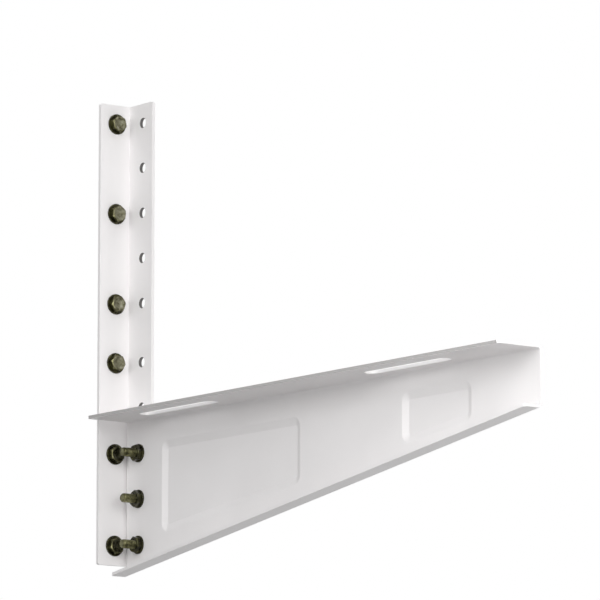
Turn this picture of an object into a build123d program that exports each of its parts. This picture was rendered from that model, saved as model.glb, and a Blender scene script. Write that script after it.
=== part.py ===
"""Wall bracket for the outdoor unit of an air conditioner: the right-hand one of a pair.

A steel angle stands upright against the wall, held by six bolts. A tapered channel arm, pressed
from sheet, is bolted to the angle's side leg and carries one side of the unit on its top flange.

Frame, in millimetres: +X to the right along the wall, +Y into the wall, +Z up. The origin lies on
the wall plane, on the line of the wall bolts, at the height of the arm's top surface.
"""

import os
from math import atan2, radians, tan

from build123d import *

# Angle upright
angle_sheet = 3.0
angle_bend_inside = 1.5
wall_leg_width = 34.0
side_leg_width = 37.0
leg_corner_radius = 2.0
side_hole_edge = 14.0
hole_diameter = 9.0
hole_pitch = 40.0
hole_group_gap = 52.0
holes_per_group = 5
angle_end_distance = 17.0

# Pressed arm
arm_sheet = 2.5
arm_bend_inside = 2.0
arm_reach = 565.0
arm_root_gap = 0.5
web_below_bolts = 26.5
web_free_height = 50.0
top_flange_width = 45.0
bottom_flange_width = 19.0
flange_corner_radius = 3.0
first_bolt_drop = 31.0
arm_bolt_count = 3

# Slots for the unit's feet, in the top flange
slot_width = 13.0
slot_length = 105.0
slot_from_wall = 56.5
slot_from_free_end = 89.0

# Stiffening panels, pressed outwards in the web
panel_depth = 2.5
panel_slope_run = 6.5
panel_crown_radius = 2.5
panel_bend_inside = 0.8
panel_root_margin = 25.0
panel_free_margin = 12.5
long_panel_from_bolts = 33.5
long_panel_length = 198.0
long_panel_top_drop = 23.0
short_panel_from_free_end = 85.0
short_panel_length = 90.0
short_panel_top_drop = 18.0

# M8 fasteners
bolt_diameter = 8.0
thread_diameter = 7.9
thread_clearance = 0.05
hex_flats = 13.0
hex_top_share = 0.95
hex_chamfer_angle = 30.0
hex_turn_step = 17.0
head_height = 4.0
nut_height = 4.0
nut_bore_chamfer = 0.5
bolt_tip_chamfer = 1.0
washer_bore = 8.4
washer_thickness = 1.6
washer_rim_chamfer = 0.4
head_washer_diameter = 18.0
nut_washer_diameter = 16.0
wall_bolt_length = 20.0
arm_bolt_length = 25.0

# Places worked out from the sizes above
side_outer_x = wall_leg_width / 2
web_outer_x = side_outer_x - angle_sheet
web_inner_x = web_outer_x - arm_sheet
flange_edge_x = web_outer_x - top_flange_width
lip_edge_x = web_outer_x - bottom_flange_width
arm_root_y = -(angle_sheet + angle_bend_inside + arm_root_gap)
arm_free_y = -arm_reach
side_hole_y = -(side_leg_width - side_hole_edge)

lowest_hole_z = -first_bolt_drop - (arm_bolt_count - 1) * hole_pitch
group_starts_z = [lowest_hole_z, lowest_hole_z + (holes_per_group - 1) * hole_pitch + hole_group_gap]
side_hole_heights = [z + i * hole_pitch for z in group_starts_z for i in range(holes_per_group)]
wall_hole_heights = [z + i * hole_pitch for z in group_starts_z for i in range(0, holes_per_group, 2)]
arm_bolt_heights = [lowest_hole_z + i * hole_pitch for i in range(arm_bolt_count)]
angle_bottom_z = lowest_hole_z - angle_end_distance
angle_top_z = max(side_hole_heights) + angle_end_distance
web_root_height = web_below_bolts - lowest_hole_z

under_head_neck = washer_thickness + angle_sheet

panels_root_y = side_hole_y - long_panel_from_bolts
panels_free_y = arm_free_y + short_panel_from_free_end
panel_spans = [
    (panels_root_y, panels_root_y - long_panel_length, long_panel_top_drop),
    (panels_free_y + short_panel_length, panels_free_y, short_panel_top_drop),
]


def web_height(y):
    """Height of the arm's web at a distance along it, from its root to its free end."""
    share = (arm_root_y - y) / (arm_root_y - arm_free_y)
    return web_root_height + (web_free_height - web_root_height) * share


def save(builder, name):
    """Label a finished piece and write it to its own file."""
    builder.part.label = name
    export_step(builder.part, f"parts/{name}.step")


def angle_upright():
    """Bent steel angle with one leg flat on the wall and one standing off it, holes in both."""
    with BuildPart() as upright:
        with BuildSketch(Plane.XY.offset(angle_bottom_z)) as section:
            with BuildLine():
                Polyline(
                    (-wall_leg_width / 2, 0),
                    (side_outer_x, 0),
                    (side_outer_x, -side_leg_width),
                    (web_outer_x, -side_leg_width),
                    (web_outer_x, -angle_sheet),
                    (-wall_leg_width / 2, -angle_sheet),
                    close=True,
                )
            make_face()
            inside, outside = section.vertices().sort_by(Axis((0, 0, 0), (1, 1, 0)))[-2:]
            fillet(outside, angle_bend_inside + angle_sheet)
            fillet(inside, angle_bend_inside)
        extrude(amount=angle_top_z - angle_bottom_z)

        wall_leg_corners = upright.edges().filter_by(Axis.Y).group_by(Axis.X)[0]
        side_leg_corners = upright.edges().filter_by(Axis.X).group_by(Axis.Y)[0]
        fillet(wall_leg_corners + side_leg_corners, leg_corner_radius)

        with BuildSketch(Plane.XZ):
            with Locations(*[(0, z) for z in wall_hole_heights]):
                Circle(hole_diameter / 2)
        extrude(amount=angle_sheet, mode=Mode.SUBTRACT)

        with BuildSketch(Plane.YZ.offset(side_outer_x)):
            with Locations(*[(side_hole_y, z) for z in side_hole_heights]):
                Circle(hole_diameter / 2)
        extrude(amount=-angle_sheet, mode=Mode.SUBTRACT)
    return upright


def panel_outline(root_side_y, free_side_y, top_drop):
    """Corners of a panel's foot: level at the top, and one straight line for both panels below."""
    root_low = panel_root_margin - web_height(panels_root_y)
    free_low = panel_free_margin - web_height(panels_free_y)
    rise = (free_low - root_low) / (panels_free_y - panels_root_y)
    return [
        (root_side_y, -top_drop),
        (free_side_y, -top_drop),
        (free_side_y, root_low + rise * (free_side_y - panels_root_y)),
        (root_side_y, root_low + rise * (root_side_y - panels_root_y)),
    ]


def panel_form(corners, foot_x, inset):
    """The tapered form of a panel: a rounded foot, and a smaller crown one panel depth outwards."""
    with BuildPart() as form:
        with BuildSketch(Plane.YZ.offset(foot_x)) as foot:
            with BuildLine():
                Polyline(*corners, close=True)
            make_face()
            fillet(foot.vertices(), panel_slope_run + panel_crown_radius)
            if inset:
                offset(amount=-inset)
        with BuildSketch(Plane.YZ.offset(foot_x + panel_depth)):
            add(foot.sketch_local)
            offset(amount=-panel_slope_run)
        loft(ruled=True)
    return form.part


def flats_of_web(part, way):
    """The web's flat, and the panels' flats one step out from it, among the faces that look one way."""
    across = part.faces().filter_by(Axis.X)
    flats = across.filter_by(lambda face: face.normal_at().X * way > 0).group_by(Axis.X)
    return flats[-2], flats[-1]


def round_panel_bends(builder, way, foot_radius, crown_radius):
    """Round the panels' bends on one side of the web: at the crowns first, then at the feet."""
    _, crowns = flats_of_web(builder.part, way)
    fillet(crowns.edges(), crown_radius)
    web, _ = flats_of_web(builder.part, way)
    fillet(web[0].inner_wires().edges(), foot_radius)


def pressed_arm():
    """Tapered channel pressed from one sheet: web, wide slotted top flange, narrow lower flange."""
    with BuildPart() as arm:
        with BuildSketch(Plane.YZ.offset(web_outer_x)):
            with BuildLine():
                Polyline(
                    (arm_root_y, 0),
                    (arm_free_y, 0),
                    (arm_free_y, -web_free_height),
                    (arm_root_y, -web_root_height),
                    close=True,
                )
            make_face()
        extrude(amount=-top_flange_width)
        bends = arm.edges().group_by(Axis.X)[-1].filter_by(Axis.Z, reverse=True)
        fillet(bends, arm_bend_inside + arm_sheet)
        along_y = arm.faces().sort_by(Axis.Y)
        open_faces = [arm.faces().sort_by(Axis.X)[0], along_y[0], along_y[-1]]
        offset(amount=-arm_sheet, openings=open_faces)

        with BuildSketch(Plane.YZ.offset(flange_edge_x)):
            with BuildLine():
                Polyline(
                    (0, -web_free_height / 2),
                    (arm_free_y, -web_free_height / 2),
                    (arm_free_y, -web_root_height),
                    (0, -web_root_height),
                    close=True,
                )
            make_face()
        extrude(amount=lip_edge_x - flange_edge_x, mode=Mode.SUBTRACT)
        flange_corners, lip_corners = arm.edges().filter_by(Axis.Z).group_by(Axis.X)[:2]
        fillet(flange_corners + lip_corners, flange_corner_radius)

        panels = [panel_outline(*span) for span in panel_spans]
        inset = arm_sheet * tan(atan2(panel_depth, panel_slope_run) / 2)
        sharp_bend, wide_bend = panel_bend_inside, panel_bend_inside + arm_sheet
        for corners in panels:
            add(panel_form(corners, web_outer_x, 0))
        round_panel_bends(arm, 1, sharp_bend, wide_bend)
        for corners in panels:
            add(panel_form(corners, web_inner_x, inset), mode=Mode.SUBTRACT)
        round_panel_bends(arm, -1, wide_bend, sharp_bend)

        with BuildSketch(Plane.XY):
            slot_x = (web_outer_x + flange_edge_x) / 2
            root_slot_y = -(slot_from_wall + slot_length / 2)
            free_slot_y = arm_free_y + slot_from_free_end + slot_length / 2
            with Locations((slot_x, root_slot_y), (slot_x, free_slot_y)):
                SlotOverall(slot_length, slot_width, rotation=90)
        extrude(amount=-arm_sheet, mode=Mode.SUBTRACT)

        with BuildSketch(Plane.YZ.offset(web_outer_x)):
            with Locations(*[(side_hole_y, z) for z in arm_bolt_heights]):
                Circle(hole_diameter / 2)
        extrude(amount=-arm_sheet, mode=Mode.SUBTRACT)
    return arm


def hex_chamfer_cone(height):
    """Cut a hexagon's top corners back to a cone, on the current work plane."""
    top_radius = hex_flats / 2 * hex_top_share
    Cone(
        bottom_radius=top_radius + height / tan(radians(hex_chamfer_angle)),
        top_radius=top_radius,
        height=height,
        align=(Align.CENTER, Align.CENTER, Align.MIN),
        mode=Mode.INTERSECT,
    )


def hex_bolt(seat, length, turn):
    """Low hex head bolt. Its seat plane is the head's underside, facing out through the head."""
    with BuildPart(seat) as bolt:
        with BuildSketch(seat):
            RegularPolygon(hex_flats / 2, 6, major_radius=False, rotation=turn)
        extrude(amount=head_height)
        hex_chamfer_cone(head_height)
        with BuildSketch(seat):
            Circle(bolt_diameter / 2)
        extrude(amount=-under_head_neck)
        with BuildSketch(seat.offset(-under_head_neck)):
            Circle(thread_diameter / 2)
        extrude(amount=under_head_neck - length)
        tip = bolt.faces().sort_by(Axis(seat.origin, seat.z_dir))[0]
        chamfer(tip.edges(), bolt_tip_chamfer)
    return bolt


def hex_nut(seat, turn):
    """Thin hex nut. Its seat plane is the bearing face, facing out through the nut."""
    with BuildPart(seat) as nut:
        with BuildSketch(seat):
            RegularPolygon(hex_flats / 2, 6, major_radius=False, rotation=turn)
        extrude(amount=nut_height)
        hex_chamfer_cone(nut_height)
        Hole(thread_diameter / 2 + thread_clearance)
        bore_rims = nut.edges().filter_by(GeomType.CIRCLE).group_by(SortBy.RADIUS)[0]
        chamfer(bore_rims, nut_bore_chamfer)
    return nut


def washer(seat, diameter):
    """Stamped flat washer, lying on its seat plane, with a bevelled rim on the side that shows."""
    with BuildPart(seat) as ring:
        with BuildSketch(seat):
            Circle(diameter / 2)
            Circle(washer_bore / 2, mode=Mode.SUBTRACT)
        extrude(amount=washer_thickness)
        outer_rims = ring.edges().filter_by(GeomType.CIRCLE).group_by(SortBy.RADIUS)[-1]
        chamfer(outer_rims.sort_by(Axis(seat.origin, seat.z_dir))[-1], washer_rim_chamfer)
    return ring


os.makedirs("parts", exist_ok=True)
save(angle_upright(), "upright")
save(pressed_arm(), "arm")

for number, z in enumerate(wall_hole_heights, start=1):
    leg_front = Plane(origin=(0, -angle_sheet, z), x_dir=(1, 0, 0), z_dir=(0, -1, 0))
    head_seat = leg_front.offset(washer_thickness)
    save(washer(leg_front, head_washer_diameter), f"wall_washer_{number}")
    save(hex_bolt(head_seat, wall_bolt_length, number * hex_turn_step), f"wall_bolt_{number}")

for number, z in enumerate(arm_bolt_heights, start=1):
    turn = number * hex_turn_step
    leg_outside = Plane(origin=(side_outer_x, side_hole_y, z), x_dir=(0, 1, 0), z_dir=(1, 0, 0))
    head_seat = leg_outside.offset(washer_thickness)
    save(washer(leg_outside, head_washer_diameter), f"arm_head_washer_{number}")
    save(hex_bolt(head_seat, arm_bolt_length, turn), f"arm_bolt_{number}")
    web_inside = Plane(origin=(web_inner_x, side_hole_y, z), x_dir=(0, 1, 0), z_dir=(-1, 0, 0))
    nut_seat = web_inside.offset(washer_thickness)
    save(washer(web_inside, nut_washer_diameter), f"arm_nut_washer_{number}")
    save(hex_nut(nut_seat, -turn), f"arm_nut_{number}")
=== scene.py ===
"""Looks of a right-hand wall bracket: an upright angle that carries a tapered channel arm.

The bent sheet parts keep the form of the frame's solids and get their white coat here. The bolts,
nuts and washers are rebuilt, with real threads. Metres, +X right along the wall, +Z up.
"""

from math import cos, pi, radians, sin, tan

import bmesh
import bpy
from mathutils import Matrix, Vector


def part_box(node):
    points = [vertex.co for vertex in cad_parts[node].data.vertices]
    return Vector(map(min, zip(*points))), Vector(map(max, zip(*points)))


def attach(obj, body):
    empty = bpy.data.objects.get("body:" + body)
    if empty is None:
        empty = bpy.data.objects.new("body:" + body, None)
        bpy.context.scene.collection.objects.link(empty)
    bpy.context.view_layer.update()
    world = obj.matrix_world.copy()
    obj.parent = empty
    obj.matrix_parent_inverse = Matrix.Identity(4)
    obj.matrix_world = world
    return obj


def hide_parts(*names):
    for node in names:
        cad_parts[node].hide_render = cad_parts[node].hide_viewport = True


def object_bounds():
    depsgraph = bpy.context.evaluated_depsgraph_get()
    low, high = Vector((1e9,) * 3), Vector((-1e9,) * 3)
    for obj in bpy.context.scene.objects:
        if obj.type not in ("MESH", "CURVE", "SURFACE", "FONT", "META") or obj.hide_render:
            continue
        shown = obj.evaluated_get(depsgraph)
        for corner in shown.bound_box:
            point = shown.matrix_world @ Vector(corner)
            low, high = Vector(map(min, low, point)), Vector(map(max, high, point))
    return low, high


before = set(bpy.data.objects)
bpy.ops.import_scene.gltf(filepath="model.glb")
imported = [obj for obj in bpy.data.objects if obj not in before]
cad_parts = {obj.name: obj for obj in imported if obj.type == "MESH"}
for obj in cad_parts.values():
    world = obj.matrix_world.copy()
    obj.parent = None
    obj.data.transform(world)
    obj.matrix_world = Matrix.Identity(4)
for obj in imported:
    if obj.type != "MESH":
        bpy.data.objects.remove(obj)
cad_low, cad_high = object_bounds()


# Upright and arm
# Both are cold-formed from mild steel sheet, 3 mm and 2.5 mm thick, with the holes and slots punched
# before bending. The coat goes on after forming, so it covers the bends and the cut edges.
def linear_colour(hex_code):
    """Turn an sRGB hex value into linear red, green, blue and alpha."""
    channels = [int(hex_code[i:i + 2], 16) / 255 for i in (1, 3, 5)]
    return [c / 12.92 if c <= 0.04045 else ((c + 0.055) / 1.055) ** 2.4 for c in channels] + [1.0]


def add_node(tree, kind, settings=None, links=None, **attributes):
    """Add a shader node with its attributes, socket values and links from other nodes' sockets."""
    node = tree.nodes.new(kind)
    for name, value in attributes.items():
        setattr(node, name, value)
    for socket, value in (settings or {}).items():
        node.inputs[socket].default_value = value
    for socket, source in (links or {}).items():
        tree.links.new(source, node.inputs[socket])
    return node


def set_stops(ramp, stops):
    """Give a colour ramp its stops, each a place from 0 to 1 and a hex colour."""
    elements = ramp.color_ramp.elements
    while len(elements) < len(stops):
        elements.new(0.5)
    for element, (place, hex_code) in zip(elements, stops):
        element.position = place
        element.color = linear_colour(hex_code)


def start_material(name):
    """A node material with nothing in it but its output."""
    material = bpy.data.materials.new(name)
    material.use_nodes = True
    material.node_tree.nodes.clear()
    return material, material.node_tree, material.node_tree.nodes.new("ShaderNodeOutputMaterial")


# Polyester powder coat, sprayed dry and baked: an even white film with a satin sheen. It levels into
# low swells called orange peel, about 2.5 mm apart and a few thousandths of a millimetre deep. They
# are drawn deeper here, or they wouldn't show at this distance. The walls of the side leg's holes
# are painted a dull dark grey, as painted shade inside the holes, and the long sheared edge of the
# arm's top flange is painted a light grey, as painted shade on that edge.
MM = 0.001
PEEL_SPACING = 2.5 * MM
PEEL_DEPTH = 0.02 * MM
CLOUD_SIZE = 60 * MM
POWDER_IOR = 1.5
FILM_SMOOTHEST, FILM_ROUGHEST = 0.46, 0.54
WHITE_FILM = [(0.3, "#EFEDED"), (0.7, "#F3F1F1")]
HOLE_SHADE_GREY = "#5F5D5B"
EDGE_SHADE_GREY = "#B5B3B2"
PATTERN_MARGIN = 0.1 * MM
HOLE_RADIUS = 4.5 * MM
HOLE_PITCH = 40 * MM
HOLE_GROUP_GAP = 52 * MM

# The sheen varies with the grains of powder, which are drawn ten times as coarse as they are.
FILM_GRAIN = 0.5 * MM

# Nearly all of a noise pattern's values lie between these two.
NOISE_LOW, NOISE_HIGH = 0.3, 0.7

# Sockets of Blender's Mix node when it mixes colours.
MIX_SHARE, COLOUR_A, COLOUR_B, MIXED_COLOUR = 0, 6, 7, 2


def node_box(node):
    """The middle, lowest corner, highest corner and size of a node."""
    low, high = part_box(node)
    return (low + high) / 2, low, high, high - low


def in_side_hole(tree, place):
    """One on the walls of the side leg's holes, which stand in two groups, and else zero."""
    lowest_hole, top_hole = node_box("arm_bolt_1")[0], node_box("wall_bolt_6")[0]
    holes_in_group = round((top_hole.z - lowest_hole.z - HOLE_GROUP_GAP) / HOLE_PITCH / 2) + 1
    group_end = lowest_hole.z + (holes_in_group - 1) * HOLE_PITCH + HOLE_GROUP_GAP / 2
    spot = add_node(tree, "ShaderNodeSeparateXYZ", links={"Vector": place})
    upper = add_node(
        tree,
        "ShaderNodeMath",
        {1: group_end},
        {0: spot.outputs["Z"]},
        operation="GREATER_THAN",
    )
    height = add_node(
        tree,
        "ShaderNodeMath",
        {1: HOLE_PITCH - HOLE_GROUP_GAP},
        {0: upper.outputs["Value"], 2: spot.outputs["Z"]},
        operation="MULTIPLY_ADD",
    )
    from_lowest = add_node(
        tree,
        "ShaderNodeMath",
        {1: lowest_hole.z},
        {0: height.outputs["Value"]},
        operation="SUBTRACT",
    )
    off_row = add_node(
        tree,
        "ShaderNodeMath",
        {1: HOLE_PITCH / 2},
        {0: from_lowest.outputs["Value"]},
        operation="PINGPONG",
    )
    off_line = add_node(
        tree,
        "ShaderNodeMath",
        {1: lowest_hole.y},
        {0: spot.outputs["Y"]},
        operation="SUBTRACT",
    )
    off_axis = add_node(
        tree,
        "ShaderNodeCombineXYZ",
        links={"X": off_line.outputs["Value"], "Y": off_row.outputs["Value"]},
    )
    distance = add_node(
        tree,
        "ShaderNodeVectorMath",
        links={0: off_axis.outputs["Vector"]},
        operation="LENGTH",
    )
    wall = add_node(
        tree,
        "ShaderNodeMath",
        {1: HOLE_RADIUS + PATTERN_MARGIN},
        {0: distance.outputs["Value"]},
        operation="LESS_THAN",
    )
    return wall.outputs["Value"]


def on_flange_edge(tree, place):
    """One on the top flange's long sheared edge, at the channel's open side, and else zero."""
    edge_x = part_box("arm")[0].x
    spot = add_node(tree, "ShaderNodeSeparateXYZ", links={"Vector": place})
    edge = add_node(
        tree,
        "ShaderNodeMath",
        {1: edge_x + PATTERN_MARGIN},
        {0: spot.outputs["X"]},
        operation="LESS_THAN",
    )
    return edge.outputs["Value"]


def powder_coat(name, other_colour, has_other_colour):
    """The white film, with another colour where has_other_colour gives one."""
    material, tree, output = start_material(name)
    place = add_node(tree, "ShaderNodeTexCoord").outputs["Object"]
    clouds = add_node(
        tree,
        "ShaderNodeTexNoise",
        {"Scale": 1 / CLOUD_SIZE, "Detail": 2.0, "Roughness": 0.4},
        {"Vector": place},
    )
    tint = add_node(tree, "ShaderNodeValToRGB", links={"Fac": clouds.outputs["Fac"]})
    set_stops(tint, WHITE_FILM)
    grain = add_node(
        tree,
        "ShaderNodeTexNoise",
        {"Scale": 1 / FILM_GRAIN, "Detail": 2.0, "Roughness": 0.6},
        {"Vector": place},
    )
    sheen = add_node(
        tree,
        "ShaderNodeMapRange",
        {
            "From Min": NOISE_LOW,
            "From Max": NOISE_HIGH,
            "To Min": FILM_SMOOTHEST,
            "To Max": FILM_ROUGHEST,
        },
        {"Value": grain.outputs["Fac"]},
    )
    peel = add_node(
        tree,
        "ShaderNodeTexNoise",
        {"Scale": 1 / PEEL_SPACING, "Detail": 1.0, "Roughness": 0.3},
        {"Vector": place},
    )
    swells = add_node(
        tree,
        "ShaderNodeBump",
        {"Strength": 1.0, "Distance": PEEL_DEPTH},
        {"Height": peel.outputs["Fac"]},
    )
    film = add_node(
        tree,
        "ShaderNodeMix",
        {COLOUR_B: linear_colour(other_colour)},
        {MIX_SHARE: has_other_colour(tree, place), COLOUR_A: tint.outputs["Color"]},
        data_type="RGBA",
    )
    surface = add_node(
        tree,
        "ShaderNodeBsdfPrincipled",
        {"Metallic": 0.0, "IOR": POWDER_IOR},
        {
            "Base Color": film.outputs[MIXED_COLOUR],
            "Roughness": sheen.outputs["Result"],
            "Normal": swells.outputs["Normal"],
        },
    )
    tree.links.new(surface.outputs["BSDF"], output.inputs["Surface"])
    return material


# Painted shade: dark grey on the upright's hole walls, light grey on the arm's top flange edge.
for node, other_colour, has_other_colour in (
    ("upright", HOLE_SHADE_GREY, in_side_hole),
    ("arm", EDGE_SHADE_GREY, on_flange_edge),
):
    coat = powder_coat(f"white_powder_coat_on_{node}", other_colour, has_other_colour)
    sheet_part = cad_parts[node]
    sheet_part.data.materials.clear()
    sheet_part.data.materials.append(coat)


# Washers
# Flat washers stamped from steel strip, 18 mm wide under the heads and 16 mm under the nuts, with a
# bevelled rim on the side that shows. Like all the fasteners they are zinc-plated and chromated.
WALL_BOLTS = range(1, 7)
ARM_BOLTS = range(1, 4)
WASHER_BORE = 8.4 * MM
RIM_BEVEL = 0.4 * MM
RING_STEPS = 72
SMOOTH_UP_TO = radians(28)
WELD = 0.001 * MM

# Olive chromate over zinc plate: a film well under a thousandth of a millimetre thick, grey-green,
# that clouds from dark olive to grey over a few millimetres. It is sealed with a thin clear lacquer,
# which gives the pale glints on its edges. Washers and nuts wear the film painted darker, as painted
# shade, and the tops of the bolt heads wear it painted paler, as a painted highlight.
OLIVE_PATCH = 4 * MM
ZINC_SMOOTHEST, ZINC_ROUGHEST = 0.24, 0.34
LACQUER = 0.35
LACQUER_ROUGHNESS = 0.18
SHADED_FILM = [(0.32, "#1E1D09"), (0.5, "#2D2B13"), (0.66, "#424126")]
BOLT_FILM = [(0.32, "#38361C"), (0.48, "#504E30"), (0.62, "#6C6A4A"), (0.72, "#807E60")]
HIGHLIGHT_FILM = [(0.32, "#53513A"), (0.48, "#6F6D56"), (0.62, "#8D8B76"), (0.72, "#A19F8D")]

# The plate's own grain is far finer, and is drawn a quarter of a millimetre wide so that it shows.
ZINC_GRAIN = 0.25 * MM
GRAIN_DEPTH = 0.008 * MM
GRAIN_STRENGTH = 0.6


def olive_chromate(name, stops):
    """The chromated zinc, clouded in the shades that its stops give, under its lacquer."""
    material, tree, output = start_material(name)
    place = add_node(tree, "ShaderNodeTexCoord").outputs["Object"]
    patches = add_node(
        tree,
        "ShaderNodeTexNoise",
        {"Scale": 1 / OLIVE_PATCH, "Detail": 2.0, "Roughness": 0.5},
        {"Vector": place},
    )
    film = add_node(tree, "ShaderNodeValToRGB", links={"Fac": patches.outputs["Fac"]})
    set_stops(film, stops)
    gloss = add_node(
        tree,
        "ShaderNodeMapRange",
        {
            "From Min": NOISE_LOW,
            "From Max": NOISE_HIGH,
            "To Min": ZINC_SMOOTHEST,
            "To Max": ZINC_ROUGHEST,
        },
        {"Value": patches.outputs["Fac"]},
    )
    grain = add_node(
        tree,
        "ShaderNodeTexNoise",
        {"Scale": 1 / ZINC_GRAIN, "Detail": 2.0, "Roughness": 0.5},
        {"Vector": place},
    )
    satin = add_node(
        tree,
        "ShaderNodeBump",
        {"Strength": GRAIN_STRENGTH, "Distance": GRAIN_DEPTH},
        {"Height": grain.outputs["Fac"]},
    )
    surface = add_node(
        tree,
        "ShaderNodeBsdfPrincipled",
        {"Metallic": 1.0, "Coat Weight": LACQUER, "Coat Roughness": LACQUER_ROUGHNESS},
        {
            "Base Color": film.outputs["Color"],
            "Roughness": gloss.outputs["Result"],
            "Normal": satin.outputs["Normal"],
        },
    )
    tree.links.new(surface.outputs["BSDF"], output.inputs["Surface"])
    return material


# Darker film on washers and nuts is painted shade; paler film on head tops is a painted highlight.
shaded_olive_zinc = olive_chromate("olive_chromated_zinc_with_painted_shade", SHADED_FILM)
olive_zinc = olive_chromate("olive_chromated_zinc", BOLT_FILM)
highlit_olive_zinc = olive_chromate("olive_chromated_zinc_with_painted_highlight", HIGHLIGHT_FILM)


def seated(origin, across, outward):
    """The turn and place that set a fastener on its seat: its z points outward, its x lies across."""
    z = Vector(outward)
    x = Vector(across)
    turn = Matrix((x, z.cross(x), z)).transposed().to_4x4()
    return Matrix.Translation(origin) @ turn


def fit_fastener(shape, node, seat, *finishes):
    """Move a fastener's shape to its seat, as a smooth piece that takes its node's place."""
    shape.transform(seat)
    bmesh.ops.recalc_face_normals(shape, faces=shape.faces)
    for face in shape.faces:
        face.smooth = True
    for edge in shape.edges:
        edge.smooth = edge.calc_face_angle(pi) < SMOOTH_UP_TO
    mesh = bpy.data.meshes.new(node + "_plated")
    shape.to_mesh(mesh)
    shape.free()
    for finish in finishes:
        mesh.materials.append(finish)
    piece = bpy.data.objects.new(node + "_plated", mesh)
    bpy.context.scene.collection.objects.link(piece)
    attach(piece, "root")
    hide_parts(node)


def washer_shape(radius, thickness):
    """A ring with a plain bore and a bevelled upper rim, spun from its section."""
    bore = WASHER_BORE / 2
    section = [
        (bore, 0),
        (radius, 0),
        (radius, thickness - RIM_BEVEL),
        (radius - RIM_BEVEL, thickness),
        (bore, thickness),
    ]
    shape = bmesh.new()
    corners = [shape.verts.new((r, 0, z)) for r, z in section]
    sides = [shape.edges.new(pair) for pair in zip(corners, corners[1:] + corners[:1])]
    bmesh.ops.spin(
        shape,
        geom=corners + sides,
        cent=(0, 0, 0),
        axis=(0, 0, 1),
        angle=2 * pi,
        steps=RING_STEPS,
        use_merge=True,
    )
    bmesh.ops.remove_doubles(shape, verts=shape.verts, dist=WELD)
    return shape


for number in WALL_BOLTS:
    washer = f"wall_washer_{number}"
    middle, low, high, size = node_box(washer)
    seat = seated((middle.x, high.y, middle.z), (1, 0, 0), (0, -1, 0))
    fit_fastener(washer_shape(size.x / 2, size.y), washer, seat, shaded_olive_zinc)

for number in ARM_BOLTS:
    washer = f"arm_head_washer_{number}"
    middle, low, high, size = node_box(washer)
    seat = seated((low.x, middle.y, middle.z), (0, 1, 0), (1, 0, 0))
    fit_fastener(washer_shape(size.y / 2, size.x), washer, seat, shaded_olive_zinc)

    washer = f"arm_nut_washer_{number}"
    middle, low, high, size = node_box(washer)
    seat = seated((high.x, middle.y, middle.z), (0, 1, 0), (-1, 0, 0))
    fit_fastener(washer_shape(size.y / 2, size.x), washer, seat, shaded_olive_zinc)


# Bolts
# M8 hex bolts, cold-headed from wire with a low head 13 mm across its flats, dished on top by the
# die, and rolled with a coarse thread. Six hold the upright to the wall, and three hold the arm to
# the upright's side leg. Each stops at its own turn, as tightened bolts do.
HEX_FLATS = 13 * MM
HEX_SIDE_CUTS = 9
HEX_TURN_STEP = 17
HEAD_HEIGHT = 4 * MM
TOP_FLAT_SHARE = 0.95
DISH_RADIUS = 4.6 * MM
DISH_FLOOR_RADIUS = 3.0 * MM
DISH_DEPTH = 0.7 * MM
CORNER_SLOPE = tan(radians(30))
NECK_RADIUS = 4.0 * MM
CREST_RADIUS = 3.95 * MM
ROOT_RADIUS = 3.35 * MM
TIP_CHAMFER = 1.0 * MM
PITCH = 1.25 * MM
ROOT_SHARE = 0.2
CREST_SHARE = 0.15
SPARE_TURNS = 3
STEPS_PER_TURN = 32
PLAIN_FINISH, HIGHLIGHT_FINISH = 0, 1


def hexagon(shape, turn):
    """A ring of edges in the seat plane, 13 mm across the flats, each side cut into short lengths."""
    first_corner = radians(90)
    rotation = Matrix.Rotation(radians(turn) - first_corner, 3, "Z")
    bmesh.ops.create_circle(shape, segments=6, radius=HEX_FLATS / 2 / cos(pi / 6))
    bmesh.ops.rotate(shape, verts=shape.verts, matrix=rotation)
    bmesh.ops.subdivide_edges(shape, edges=shape.edges, cuts=HEX_SIDE_CUTS)
    return list(shape.edges)


def next_ring(shape, ring, place):
    """Extrude a ring of edges, move each new corner to where place says, and give the new ring."""
    grown = bmesh.ops.extrude_edge_only(shape, edges=ring)["geom"]
    corners = {part for part in grown if isinstance(part, bmesh.types.BMVert)}
    for corner in corners:
        corner.co = place(corner.co)
    edges = [part for part in grown if isinstance(part, bmesh.types.BMEdge)]
    return [edge for edge in edges if set(edge.verts) <= corners]


def on_circle(radius, height):
    """Places a corner on a circle round the axis, in the direction that it already has."""
    return lambda spot: Vector((*(spot.xy.normalized() * radius), height))


def under_cone(height):
    """Raises a corner to the cone that bounds the head, which lies lower further out."""
    flat_radius = HEX_FLATS / 2 * TOP_FLAT_SHARE

    def raised(spot):
        past_flat = max(0, spot.xy.length - flat_radius)
        return Vector((spot.x, spot.y, height - past_flat * CORNER_SLOPE))

    return raised


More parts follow.
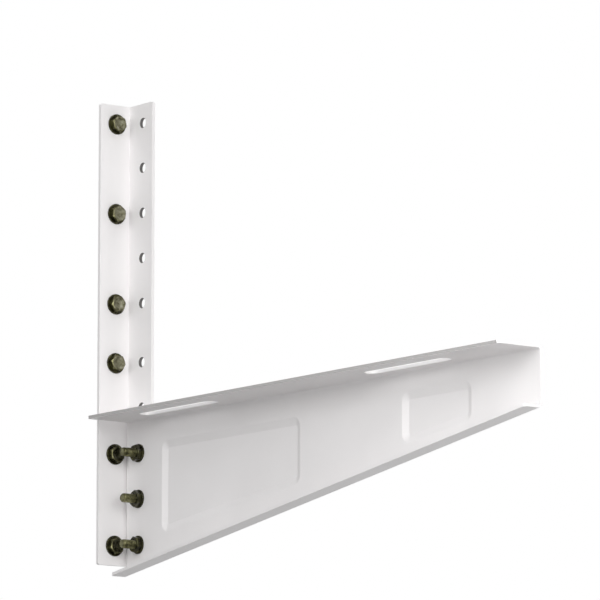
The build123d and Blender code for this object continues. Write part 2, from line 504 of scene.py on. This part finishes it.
def thread_shape(shape, start, length):
    """A closed length of outside thread that runs down the axis from start, with a chamfered tip."""
    section = [
        (ROOT_RADIUS, 0),
        (ROOT_RADIUS, ROOT_SHARE),
        (CREST_RADIUS, (1 + ROOT_SHARE - CREST_SHARE) / 2),
        (CREST_RADIUS, (1 + ROOT_SHARE + CREST_SHARE) / 2),
        (ROOT_RADIUS, 1),
    ]
    thread = bmesh.new()
    corners = [thread.verts.new((r, 0, start + (1 - share) * PITCH)) for r, share in section]
    sides = [thread.edges.new(pair) for pair in zip(corners, corners[1:])]
    turns = int(length / PITCH) + SPARE_TURNS
    bmesh.ops.spin(
        thread,
        geom=corners + sides,
        cent=(0, 0, 0),
        axis=(0, 0, 1),
        dvec=(0, 0, -PITCH / STEPS_PER_TURN),
        angle=2 * pi * turns,
        steps=STEPS_PER_TURN * turns,
    )
    bmesh.ops.remove_doubles(thread, verts=thread.verts, dist=WELD)
    for height, outward in ((start, 1), (start - length, -1)):
        every_part = list(thread.verts) + list(thread.edges) + list(thread.faces)
        bmesh.ops.bisect_plane(
            thread,
            geom=every_part,
            plane_co=(0, 0, height),
            plane_no=(0, 0, outward),
            clear_outer=True,
        )
    tip = start - length
    for vert in thread.verts:
        widest = CREST_RADIUS - TIP_CHAMFER + (vert.co.z - tip)
        if vert.co.xy.length > widest:
            vert.co.xy *= widest / vert.co.xy.length
    bmesh.ops.holes_fill(thread, edges=[edge for edge in thread.edges if edge.is_boundary])
    whole = bpy.data.meshes.new("thread")
    thread.to_mesh(whole)
    thread.free()
    shape.from_mesh(whole)
    bpy.data.meshes.remove(whole)


def bolt_shape(turn, neck, length):
    """A low hex head with a dished top, a plain neck below it, and a thread down to the tip."""
    shape = bmesh.new()
    base = hexagon(shape, turn)
    shoulder = next_ring(shape, base, under_cone(HEAD_HEIGHT))
    flat = next_ring(shape, shoulder, on_circle(HEX_FLATS / 2 * TOP_FLAT_SHARE, HEAD_HEIGHT))
    beside_top = set(shape.faces)
    dish = next_ring(shape, flat, on_circle(DISH_RADIUS, HEAD_HEIGHT))
    dish_floor = next_ring(shape, dish, on_circle(DISH_FLOOR_RADIUS, HEAD_HEIGHT - DISH_DEPTH))
    bmesh.ops.holes_fill(shape, edges=dish_floor)
    # The head's top and dish take the paler film, a painted highlight; its flanks take the plain
    # film.
    for face in shape.faces:
        face.material_index = PLAIN_FINISH if face in beside_top else HIGHLIGHT_FINISH
    neck_top = next_ring(shape, base, on_circle(NECK_RADIUS, 0))
    neck_end = next_ring(shape, neck_top, on_circle(NECK_RADIUS, -neck))
    bmesh.ops.holes_fill(shape, edges=neck_end)
    thread_shape(shape, -neck, length - neck)
    return shape


wall_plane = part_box("upright")[1].y
neck = wall_plane - (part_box("wall_bolt_1")[0].y + HEAD_HEIGHT)

for number in WALL_BOLTS:
    bolt = f"wall_bolt_{number}"
    middle, low, high, size = node_box(bolt)
    seat = seated((middle.x, low.y + HEAD_HEIGHT, middle.z), (1, 0, 0), (0, -1, 0))
    shape = bolt_shape(number * HEX_TURN_STEP, neck, size.y - HEAD_HEIGHT)
    fit_fastener(shape, bolt, seat, olive_zinc, highlit_olive_zinc)

for number in ARM_BOLTS:
    bolt = f"arm_bolt_{number}"
    middle, low, high, size = node_box(bolt)
    seat = seated((high.x - HEAD_HEIGHT, middle.y, middle.z), (0, 1, 0), (1, 0, 0))
    shape = bolt_shape(number * HEX_TURN_STEP, neck, size.x - HEAD_HEIGHT)
    fit_fastener(shape, bolt, seat, olive_zinc, highlit_olive_zinc)


# Nuts
# Thin M8 hex nuts, hot-pressed and tapped, with countersunk bores. Each clamps the arm's web from
# inside the channel, on the end of an arm bolt.
NUT_BORE_RADIUS = 4.0 * MM
BORE_CHAMFER = 0.5 * MM


def nut_shape(turn, height):
    """A hexagon with a bore through it, countersunk at both ends."""
    wide = NUT_BORE_RADIUS + BORE_CHAMFER
    shape = bmesh.new()
    base = hexagon(shape, turn)
    shoulder = next_ring(shape, base, under_cone(height))
    flat = next_ring(shape, shoulder, on_circle(HEX_FLATS / 2 * TOP_FLAT_SHARE, height))
    mouth = next_ring(shape, flat, on_circle(wide, height))
    bore_top = next_ring(shape, mouth, on_circle(NUT_BORE_RADIUS, height - BORE_CHAMFER))
    bore_end = next_ring(shape, bore_top, on_circle(NUT_BORE_RADIUS, BORE_CHAMFER))
    foot = next_ring(shape, bore_end, on_circle(wide, 0))
    bmesh.ops.bridge_loops(shape, edges=foot + base)
    return shape


for number in ARM_BOLTS:
    nut = f"arm_nut_{number}"
    middle, low, high, size = node_box(nut)
    seat = seated((high.x, middle.y, middle.z), (0, 1, 0), (-1, 0, 0))
    fit_fastener(nut_shape(-number * HEX_TURN_STEP, size.x), nut, seat, shaded_olive_zinc)


# Floor and light
# A plain pale floor lies far below the bracket, which hangs high on a wall in use. Soft lamps stand
# round it: the nearest is before the free end, so that the arm darkens towards the wall, and the one
# on the right shows in the bolt heads. A white surround fills the rest.
FLOOR_DROP = 9.0
FLOOR_REACH = 120.0
FLOOR_COLOUR = "#D9D9D9"
WHITE = "#FFFFFF"
AMBIENT_STRENGTH = 0.32
BACKGROUND_STRENGTH = 1.0


def seen_directly(tree):
    """One where a ray comes from the camera, or by a mirror or clear surface; else zero."""
    path = add_node(tree, "ShaderNodeLightPath")
    seen = path.outputs["Is Camera Ray"]
    for kind in ("Is Glossy Ray", "Is Transmission Ray"):
        either = add_node(tree, "ShaderNodeMath", operation="MAXIMUM")
        tree.links.new(seen, either.inputs[0])
        tree.links.new(path.outputs[kind], either.inputs[1])
        seen = either.outputs["Value"]
    return seen


world = bpy.data.worlds.new("white_surround")
bpy.context.scene.world = world
world.use_nodes = True
sky = world.node_tree
sky.nodes.clear()
ambient = add_node(
    sky,
    "ShaderNodeBackground",
    {"Color": linear_colour(WHITE), "Strength": AMBIENT_STRENGTH},
)
backdrop = add_node(
    sky,
    "ShaderNodeBackground",
    {"Color": linear_colour(WHITE), "Strength": BACKGROUND_STRENGTH},
)
both = add_node(sky, "ShaderNodeMixShader", links={"Fac": seen_directly(sky)})
sky.links.new(ambient.outputs["Background"], both.inputs[1])
sky.links.new(backdrop.outputs["Background"], both.inputs[2])
add_node(sky, "ShaderNodeOutputWorld", links={"Surface": both.outputs["Shader"]})

floor_mesh = bpy.data.meshes.new("floor")
floor_shape = bmesh.new()
floor_place = Matrix.Translation((0, 0, -FLOOR_DROP))
bmesh.ops.create_grid(floor_shape, x_segments=1, y_segments=1, size=FLOOR_REACH, matrix=floor_place)
floor_shape.to_mesh(floor_mesh)
floor_shape.free()
floor = bpy.data.objects.new("floor", floor_mesh)
bpy.context.scene.collection.objects.link(floor)

floor_material, floor_tree, floor_output = start_material("pale_floor")
matt = add_node(floor_tree, "ShaderNodeBsdfDiffuse", {"Color": linear_colour(FLOOR_COLOUR)})
bright = add_node(
    floor_tree,
    "ShaderNodeEmission",
    {"Color": linear_colour(WHITE), "Strength": BACKGROUND_STRENGTH},
)
floor_mix = add_node(floor_tree, "ShaderNodeMixShader", links={"Fac": seen_directly(floor_tree)})
floor_tree.links.new(matt.outputs["BSDF"], floor_mix.inputs[1])
floor_tree.links.new(bright.outputs["Emission"], floor_mix.inputs[2])
floor_tree.links.new(floor_mix.outputs["Shader"], floor_output.inputs["Surface"])
floor_mesh.materials.append(floor_material)


def area_lamp(name, place, target, width, watts):
    """A square lamp at a place, turned to face a target."""
    data = bpy.data.lights.new(name, "AREA")
    data.shape = "SQUARE"
    data.size = width
    data.energy = watts
    lamp = bpy.data.objects.new(name, data)
    lamp.location = place
    lamp.rotation_euler = (Vector(target) - Vector(place)).to_track_quat("-Z", "Y").to_euler()
    lamp.visible_camera = False
    bpy.context.scene.collection.objects.link(lamp)


free_end = Vector((0, cad_low.y, 0))
middle_of_arm = free_end / 2
area_lamp("front_lamp", (-0.5, -1.35, 0.25), free_end, width=1.0, watts=9.8)
area_lamp("low_front_lamp", (-0.45, -1.0, -0.2), free_end, width=0.5, watts=0.9)
area_lamp("left_lamp", (-2.2, -0.5, 0.7), middle_of_arm, width=1.2, watts=12)
area_lamp("right_lamp", (1.3, -1.75, 0.35), middle_of_arm, width=0.5, watts=2.5)
area_lamp("low_right_lamp", (0.8, -1.0, -1.3), middle_of_arm, width=1.2, watts=6.5)
area_lamp("top_lamp", (-0.3, -0.4, 2.2), middle_of_arm, width=1.2, watts=12.5)
area_lamp("back_lamp", (1.5, 1.1, 0.6), middle_of_arm, width=1.5, watts=18)


# Camera
# It looks up at the bracket from below and from the left, as one does from the ground, and through
# a long lens, so that the arm narrows by its own taper and hardly by distance.
AZIMUTH = radians(-37.2)
ELEVATION = radians(-9.0)
LENS = 300
SENSOR = 36
CAMERA_ROOM = 1.02
FAR_CLIP = 500

back = Vector((sin(AZIMUTH) * cos(ELEVATION), -cos(AZIMUTH) * cos(ELEVATION), sin(ELEVATION)))
right = Vector((cos(AZIMUTH), sin(AZIMUTH), 0))
up = back.cross(right)
corners = [
    Vector((x, y, z))
    for x in (cad_low.x, cad_high.x)
    for y in (cad_low.y, cad_high.y)
    for z in (cad_low.z, cad_high.z)
]


def span(direction):
    """Lowest and highest reach of the bracket along a direction."""
    reaches = [corner.dot(direction) for corner in corners]
    return min(reaches), max(reaches)


across, along = span(right), span(up)
aim = right * sum(across) / 2 + up * sum(along) / 2 + back * sum(span(back)) / 2
widest = max(across[1] - across[0], along[1] - along[0]) * CAMERA_ROOM

camera_data = bpy.data.cameras.new("camera")
camera_data.lens = LENS
camera_data.sensor_width = SENSOR
camera_data.clip_end = FAR_CLIP
camera = bpy.data.objects.new("camera", camera_data)
camera.location = aim + back * (widest * LENS / SENSOR)
camera.rotation_mode = "QUATERNION"
camera.rotation_quaternion = (-back).to_track_quat("-Z", "Y")
bpy.context.scene.collection.objects.link(camera)
bpy.context.scene.camera = camera
bpy.context.scene.view_settings.view_transform = "Standard"
